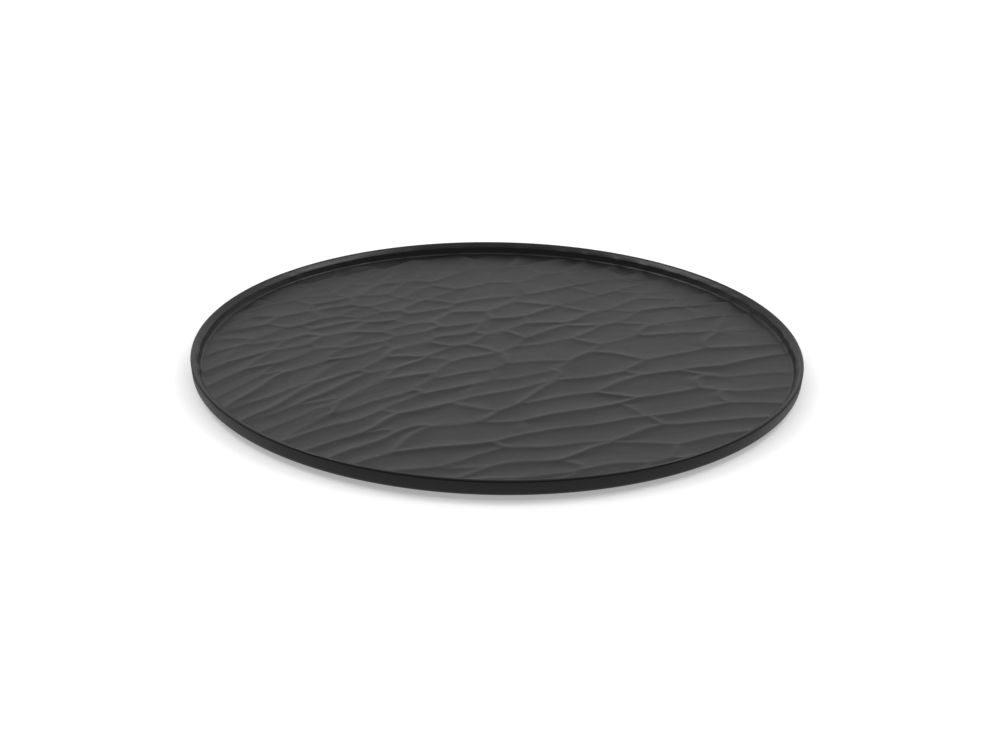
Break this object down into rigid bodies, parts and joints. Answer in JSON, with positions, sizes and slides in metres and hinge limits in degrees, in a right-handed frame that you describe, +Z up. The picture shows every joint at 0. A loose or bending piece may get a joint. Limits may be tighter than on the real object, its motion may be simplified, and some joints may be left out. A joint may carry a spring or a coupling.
{
  "type": "serving tray",
  "caption": "Round black melamine serving tray with a rippled relief in its shallow well, a low rounded rim and non-slip pads underneath.",
  "frame": {"origin": "on the table surface, under the middle of the tray, at the lower faces of the foot pads", "axes": "+Z up through the middle of the tray, out of the well; X and Y lie in the table's plane, and a foot pad lies on +Y"},
  "size_m": [0.43, 0.43, 0.015],
  "materials": {
    "melamine": "satin moulded near-black melamine",
    "pad_rubber": "matt black thermoplastic rubber"
  },
  "bodies": {
    "root": {"tray_body": "melamine", "foot_pad_1": "pad_rubber", "foot_pad_2": "pad_rubber", "foot_pad_3": "pad_rubber", "foot_pad_4": "pad_rubber", "foot_pad_5": "pad_rubber", "foot_pad_6": "pad_rubber"}
  },
  "joints": []
}
